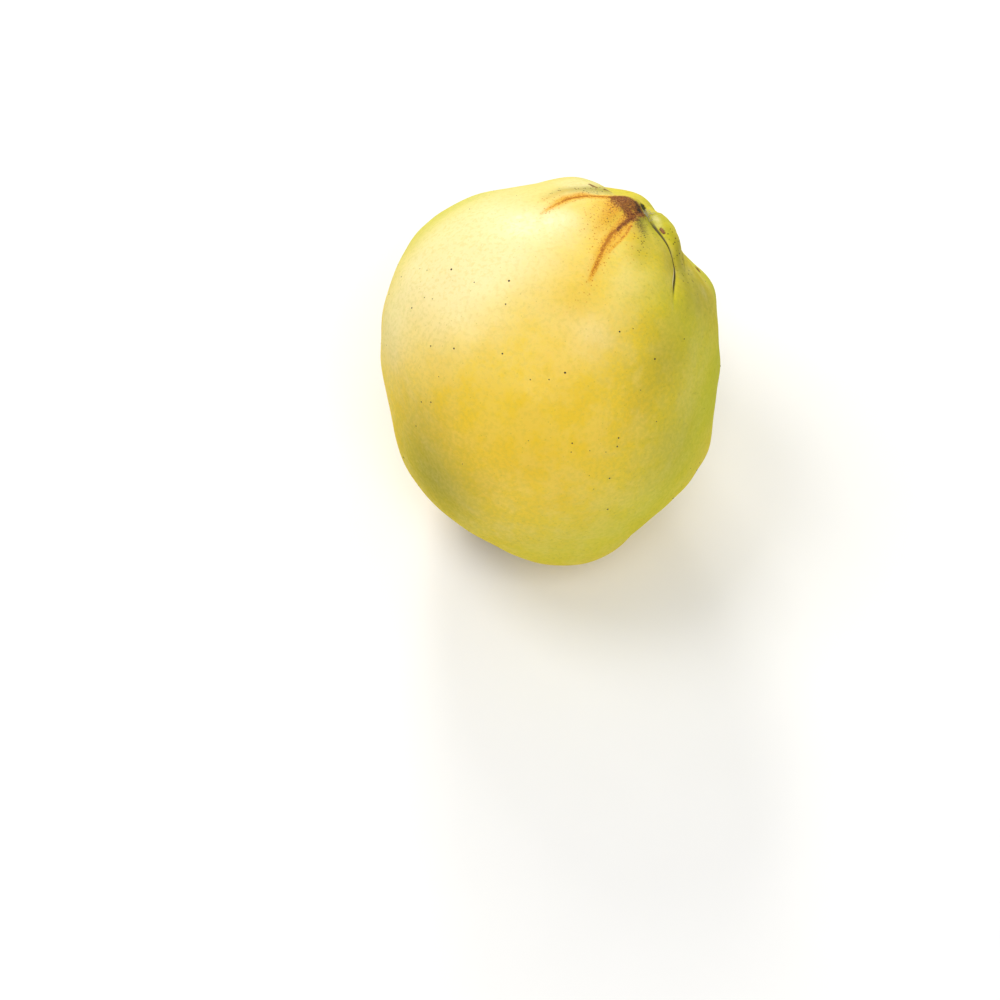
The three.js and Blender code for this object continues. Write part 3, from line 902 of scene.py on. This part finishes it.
class QUINCE_OT_skin(bpy.types.Operator):
    """Build the whole skin of the fruit with its tints, russet and furrows, with painted shade in
    the furrows and painted highlights beside them
    """

    bl_idname = "quince.skin"
    bl_label = "Skin"

    def execute(self, context):
        shape = context.scene.quince_shape
        grid = fruit_grid(shape)
        vertices, faces = closed_skin(grid)
        material = skin_finish(context.scene.quince_skin_looks)
        skin = new_piece("quince_skin", vertices, faces, material, ("fruit",))
        toward = outward(vertices)
        for name, spots in (("green", GREEN_PATCHES), ("gold", GOLD_AND_SHADE_PATCHES),
                            ("olive", OLIVE_AND_SHADE_PATCHES), ("pale_and_highlight", PALE_AND_HIGHLIGHT_PATCHES)):
            mark(skin, name, np.clip(patches(toward, spots), 0, 1))
        for name, lines in (("russet", RUSSET_STREAKS), ("bark", BARK_STREAKS),
                            ("shade", OLIVE_SHADE_STREAKS), ("pit_shade_and_marks", PIT_SHADE_AND_MARK_STREAKS)):
            mark(skin, name, streaks(vertices, lines))
        for name, values in zip(("furrow_shade", "across"), crease_shade_lines(shape)):
            mark(skin, name, np.concatenate([[0], values[1:-1].reshape(-1), [0]]))
        from_calyx = np.linalg.norm(vertices + (0, 0, shape.calyx_height / MM), axis=1)
        mark(skin, "basin", 1 - smooth(from_calyx, 0.6 * HOLLOW_REACH, HOLLOW_REACH))
        check_against_model(skin)
        return {"FINISHED"}


def check_against_model(skin):
    """Raises an error where the skin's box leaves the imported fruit's by over 2 mm."""
    places = np.array([vertex.co for vertex in skin.data.vertices])
    low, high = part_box("fruit")
    apart = max(np.abs(places.min(0) - low).max(), np.abs(places.max(0) - high).max())
    if apart > 2 * MM:
        raise RuntimeError(f"the skin leaves the packed fruit by {apart / MM:.1f} mm")


def focal_pixels(stage):
    """The camera's focal length as pixels of the picture."""
    return PICTURE_WIDTH * stage.lens / SENSOR_WIDTH


def camera_place(stage):
    """Where the camera stands, in millimetres, and the directions back to it and up the
    picture. It looks down at the fruit from the front, so that the middle of the belly stands
    at its place in the picture and a millimetre there covers the picture scale's pixels."""
    back = np.array([0, -math.cos(stage.elevation), math.sin(stage.elevation)])
    up = np.array([0, math.sin(stage.elevation), math.cos(stage.elevation)])
    to_right = (BELLY_PIXEL[0] - PICTURE_WIDTH / 2) / stage.picture_scale
    to_top = (PICTURE_WIDTH / 2 - BELLY_PIXEL[1]) / stage.picture_scale
    aim = np.array(BELLY_CENTRE) - (to_right, 0, 0) - up * to_top
    return aim + back * focal_pixels(stage) / stage.picture_scale, back, up


def under_pixel(points, stage, across, down):
    """The grid's point that stands nearest to a pixel, of those on the camera's side."""
    eye, back, up = camera_place(stage)
    points = points.reshape(-1, 3)
    laid = laid_down(points)
    scale = focal_pixels(stage) / ((eye - laid) @ back)
    right = scale * (laid - eye)[:, 0] + PICTURE_WIDTH / 2 - across
    below = scale * ((eye - laid) @ up) + PICTURE_WIDTH / 2 - down
    facing = (laid - BELLY_CENTRE) @ back > 0
    return points[np.argmin(np.where(facing, np.hypot(right, below), np.inf))]


class QUINCE_OT_specks(bpy.types.Operator):
    """Set the dark specks on the skin, those seen in the picture and seeded ones behind"""

    bl_idname = "quince.specks"
    bl_label = "Specks"

    def execute(self, context):
        points = fruit_grid(context.scene.quince_shape)
        toward, stage = outward(points), context.scene.quince_stage
        rng = np.random.default_rng(5)
        hidden = np.stack([
            rng.uniform(*HIDDEN_AZIMUTHS, HIDDEN_SPECKS),
            np.degrees(np.arccos(rng.uniform(-0.9, 0.9, HIDDEN_SPECKS))),
            0.24 + 0.34 * rng.random(HIDDEN_SPECKS) ** 2,
        ], axis=1)
        spots = [(under_pixel(points, stage, *seen[:2]), seen[2]) for seen in SEEN_SPECKS]
        spots += [(on_skin(points, toward, *turns), width) for *turns, width in hidden.tolist()]
        paths, widths = [], []
        for spot, width in spots:
            heights = np.array([-0.3, -0.25, 0, 0.125, 0.1875, 0.2]) * width
            paths.append(spot + heights[:, None] * outward(spot))
            widths.append(width * np.array([0, 0.9, 1.0, 0.8, 0.4, 0]))
        vertices, faces = many_tubes(paths, widths, widths, 10)
        material = speck_finish(context.scene.quince_skin_looks)
        new_piece("skin_specks", vertices, faces, material)
        return {"FINISHED"}


class QUINCE_OT_calyx(bpy.types.Operator):
    """Build the dried calyx: its disc, curled sepals and withered stamens"""

    bl_idname = "quince.calyx"
    bl_label = "Calyx"

    def execute(self, context):
        shape, calyx = context.scene.quince_shape, context.scene.quince_calyx
        tube_radius = shape.tube_radius / MM
        disc = 0.94 * tube_radius - 1.1 - GAP
        floor = (shape.basin_depth - shape.calyx_height) / MM - GAP
        rng = np.random.default_rng(3)
        paths = [np.array([(0, 0, 0), (0, 0, 0.1), (0, 0, 0.7), (0, 0, 1.3), (0, 0, 1.4)])]
        widths = [disc * np.array([0, 1.6, 2.0, 1.9, 0])]
        thicknesses = [widths[0]]
        along = np.linspace(0, 1, 14)
        for k in range(calyx.sepals):
            length = calyx.sepal_length / MM * (1 + 0.14 * math.sin(2.3 * k))
            curl = 1.6 + 1.4 * math.sin(1.7 * k + 0.6)
            lean = (4 + 5 * math.sin(2.9 * k)) * DEG
            out = curl * along ** 2 + math.sin(lean) * length * along
            path = np.stack([disc - 1.2 + out, 0.4 * np.sin(5 * along + k) * along,
                             0.7 + length * along], axis=1)
            turn = (72 * k + 9 * math.sin(1.1 * k)) * DEG
            paths.append(turned(path, turn))
            ragged = 1 + 0.12 * np.sin(17 * along + 2 * k)
            full = (1 - along) ** 0.6 * ragged
            full[[0, -1]] = 0
            widths.append(calyx.sepal_width / MM * full)
            thicknesses.append(0.8 * full)
        sepals = many_tubes(paths, widths, thicknesses, 16, round_the_core)
        stems, fine = [], []
        for k in range(calyx.stamens):
            out = 0.36 * math.sqrt((k + 0.5) / calyx.stamens) * tube_radius
            length = calyx.stamen_length / MM * rng.uniform(0.7, 1.25)
            lean, twist = rng.uniform(-0.2, 0.45, 2)
            path = np.stack([out + lean * length * along ** 2, twist * length * along ** 2,
                             1.0 + length * along], axis=1)
            stems.append(turned(path, 137.5 * k * DEG))
            knob = 0.36 * (1 + 0.9 * smooth(along, 0.75, 0.95))
            knob[[0, -1]] = 0
            fine.append(knob)
        vertices, faces = joined(sepals, many_tubes(stems, fine, fine, 6))
        # Turned over about the x axis, the tuft points down the core out of its socket.
        vertices = vertices * (1, -1, -1) + (bow_at(shape, floor), 0, floor)
        new_piece("dry_calyx", vertices, faces, calyx_finish(calyx), ("calyx",))
        return {"FINISHED"}


class QUINCE_OT_down(bpy.types.Operator):
    """Set short matted down round the calyx, in the pit and beside it"""

    bl_idname = "quince.down"
    bl_label = "Down"

    def execute(self, context):
        shape = context.scene.quince_shape
        rows, normals = section_rows(shape)
        azimuth = meridian_azimuths(shape)
        grid = fruit_grid(shape)
        turn = azimuth * DEG
        out = np.stack([normals[:, :1] * np.cos(turn), normals[:, :1] * np.sin(turn),
                        normals[:, 1:] + 0 * turn], axis=-1)
        rng = np.random.default_rng(7)
        along = np.linspace(0, 1, 5)[:, None]
        paths, widths = [], []
        for end, middle, half, inner, outer, hairs, length in DOWN_TUFTS:
            beside = np.abs((azimuth - middle + 180) % 360 - 180) <= half
            here = (end * rows[:, 1:] > 0) & (rows[:, :1] > inner) & (rows[:, :1] < outer)
            roots = rng.choice(np.flatnonzero(here & beside), hairs)
            reach = length * rng.uniform(0.5, 1.2, hairs)
            lean, curl = rng.normal(0, 0.5, (2, hairs, 3))
            for k, root in enumerate(roots):
                normal = out.reshape(-1, 3)[root]
                run = (normal + lean[k]) * along + curl[k] * along ** 2
                paths.append(grid.reshape(-1, 3)[root] - 0.1 * normal + reach[k] * run)
                widths.append(DOWN_WIDTH * np.array([0, 1, 0.9, 0.6, 0]))
        vertices, faces = many_tubes(paths, widths, widths, 3)
        material = wool_finish(context.scene.quince_calyx)
        new_piece("quince_down", vertices, faces, material)
        return {"FINISHED"}


def turned(path, angle):
    """A path turned about the z axis."""
    cosine, sine = math.cos(angle), math.sin(angle)
    x, y, z = path.T
    return np.stack([cosine * x - sine * y, sine * x + cosine * y, z], axis=1)


class QUINCE_OT_stem_stub(bpy.types.Operator):
    """Build the stub of the broken stem, with ribs and torn fibres"""

    bl_idname = "quince.stem_stub"
    bl_label = "Stem stub"

    def execute(self, context):
        shape, stub = context.scene.quince_shape, context.scene.quince_stub
        radius = 0.55 * shape.pit_radius / MM - GAP
        height, slant = stub.height / MM, stub.slant / MM
        floor = (shape.stem_height - shape.pit_depth) / MM + GAP
        turn = np.linspace(0, 2 * math.pi, 40, endpoint=False)[None, :]
        share = np.array([0, 0.55, 0.9, 1, 1, 1, 1, 1, 1, 0.95, 0.8, 0])[:, None]
        level = np.array([1, 1, 1, 0.97, 0.85, 0.7, 0.5, 0.3, 0.1, 0.02, 0, 0])[:, None]
        out = radius * share * (1 - 0.06 * (1 + np.sin(5 * turn + height * level)))
        out *= 1 + 0.04 * np.sin(13 * turn + 2) * share
        splinter = 0.3 * np.sin(7 * turn + 1) + 0.2 * np.sin(17 * turn)
        end = smooth(level, 0.8, 1.0)
        up = height * level + end * share * (splinter + slant * np.cos(turn))
        up = up - 0.5 * end * (1 - share)
        grid = np.stack([out * np.cos(turn), out * np.sin(turn), up], axis=-1)
        rng = np.random.default_rng(9)
        along = np.linspace(0, 1, 6)
        paths, widths = [], []
        for azimuth in rng.uniform(0, 360, stub.fibres):
            reach = rng.uniform(0.4, 1.1)
            start = radius * rng.uniform(0.3, 0.85)
            out = start + rng.uniform(-0.2, 0.5) * along ** 2
            path = np.stack([out, 0 * along, height - 0.6 + (0.6 + reach) * along], axis=1)
            paths.append(turned(path, azimuth * DEG))
            widths.append(0.3 * (1 - along) ** 0.5 * np.sign(along))
        vertices, faces = joined(closed_skin(grid), many_tubes(paths, widths, widths, 5))
        vertices = vertices + (bow_at(shape, floor), 0, floor)
        material = wood_finish(stub)
        new_piece("stem_stub_wood", vertices, faces, material, ("stem_stub",))
        return {"FINISHED"}


class QUINCE_OT_stage(bpy.types.Operator):
    """Lay the floor, hang the lamps and set up the camera"""

    bl_idname = "quince.stage"
    bl_label = "Stage"

    def execute(self, context):
        stage = context.scene.quince_stage
        half = stage.floor_size / 2
        mesh = bpy.data.meshes.new("studio_floor")
        corners = [(-half, -half, 0), (half, -half, 0), (half, half, 0), (-half, half, 0)]
        mesh.from_pydata(corners, [], [(0, 1, 2, 3)])
        mesh.materials.append(floor_finish())
        floor = bpy.data.objects.new("studio_floor", mesh)
        context.scene.collection.objects.link(floor)
        light_fruit(context.scene, stage)
        set_camera(context.scene, stage)
        return {"FINISHED"}


# The lamps: where each stands as seen from the fruit, which way its length runs, its length
# and width as shares of its distance, and its share of the power
KEY_LAMP = ((-0.45, 0.15, 0.88), (0.5, 0.41, -0.38), 0.42, 0.42, 0.32)
BACK_LAMP = ((-0.15, 0.8, 0.58), (0.5, 0.35, -0.4), 0.35, 0.14, 0.25)
FRONT_LAMP = ((0.1, -0.5, 0.86), (1.0, 0.0, 0.0), 0.5, 0.5, 0.37)
GLINT_LAMP = ((-0.12, 0.93, 0.34), (1.0, 0.0, 0.0), 0.2, 0.08, 0.2)


def hang_lamp(scene, name, lamp, distance, power):
    """A soft rectangular lamp that shines on the fruit and isn't seen itself."""
    toward, along, length, width, share = lamp
    data = bpy.data.lights.new(name, "AREA")
    data.shape = "RECTANGLE"
    data.size, data.size_y = length * distance, width * distance
    data.energy = power * share
    data.color = (1.0, 0.99, 0.97)
    away = Vector(toward).normalized()
    across = away.cross(Vector(along)).normalized()
    turn = Matrix((across.cross(away), across, away)).transposed()
    hung = bpy.data.objects.new(name, data)
    hung.matrix_world = Matrix.Translation(Vector(BELLY_CENTRE) * MM + away * distance)
    hung.rotation_euler = turn.to_euler()
    hung.visible_camera = False
    scene.collection.objects.link(hung)


def light_fruit(scene, stage):
    """A broad lamp high on the left, a long one behind, one in front, a small low one that
    glints on the upper side, and even light from all round."""
    for name, lamp in (("key_lamp", KEY_LAMP), ("back_lamp", BACK_LAMP),
                       ("front_lamp", FRONT_LAMP), ("glint_lamp", GLINT_LAMP)):
        hang_lamp(scene, name, lamp, stage.lamp_distance, stage.lamp_power)
    world = bpy.data.worlds.new("studio_world")
    world.use_nodes = True
    background = world.node_tree.nodes["Background"]
    background.inputs["Color"].default_value = (1.0, 1.0, 1.0, 1.0)
    background.inputs["Strength"].default_value = stage.sky
    scene.world = world
    scene.view_settings.view_transform = "Standard"


def set_camera(scene, stage):
    """Sets the camera up at its place."""
    eye, back, _ = camera_place(stage)
    data = bpy.data.cameras.new("camera")
    data.lens = stage.lens
    data.sensor_width = SENSOR_WIDTH
    camera = bpy.data.objects.new("camera", data)
    camera.location = Vector(eye) * MM
    camera.rotation_euler = Vector(back).to_track_quat("Z", "Y").to_euler()
    scene.collection.objects.link(camera)
    scene.camera = camera


class QUINCE_PT_sidebar(bpy.types.Panel):
    """Sizes and colours of the quince, with a button for each piece"""

    bl_label = "Quince"
    bl_idname = "QUINCE_PT_sidebar"
    bl_space_type = "VIEW_3D"
    bl_region_type = "UI"
    bl_category = "Quince"

    def draw(self, context):
        for name in SETTINGS:
            group = getattr(context.scene, name)
            box = self.layout.box()
            for field in group.bl_rna.properties:
                if field.identifier not in ("rna_type", "name"):
                    box.prop(group, field.identifier)
        for operator in OPERATORS:
            self.layout.operator(operator.bl_idname)


SETTINGS = {
    "quince_shape": QuinceShape,
    "quince_skin_looks": QuinceSkinLooks,
    "quince_calyx": QuinceCalyx,
    "quince_stub": QuinceStub,
    "quince_stage": QuinceStage,
}
OPERATORS = (
    QUINCE_OT_skin,
    QUINCE_OT_specks,
    QUINCE_OT_calyx,
    QUINCE_OT_down,
    QUINCE_OT_stem_stub,
    QUINCE_OT_stage,
)


def register():
    for kind in (*SETTINGS.values(), *OPERATORS, QUINCE_PT_sidebar):
        bpy.utils.register_class(kind)
    for name, kind in SETTINGS.items():
        setattr(bpy.types.Scene, name, bpy.props.PointerProperty(type=kind))


def unregister():
    for name in SETTINGS:
        delattr(bpy.types.Scene, name)
    for kind in (QUINCE_PT_sidebar, *reversed(OPERATORS), *reversed(SETTINGS.values())):
        bpy.utils.unregister_class(kind)


def main():
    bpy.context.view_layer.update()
    register()
    bpy.ops.quince.skin()
    bpy.ops.quince.specks()
    bpy.ops.quince.calyx()
    bpy.ops.quince.down()
    bpy.ops.quince.stem_stub()
    bpy.ops.quince.stage()


if __name__ == "__main__":
    main()
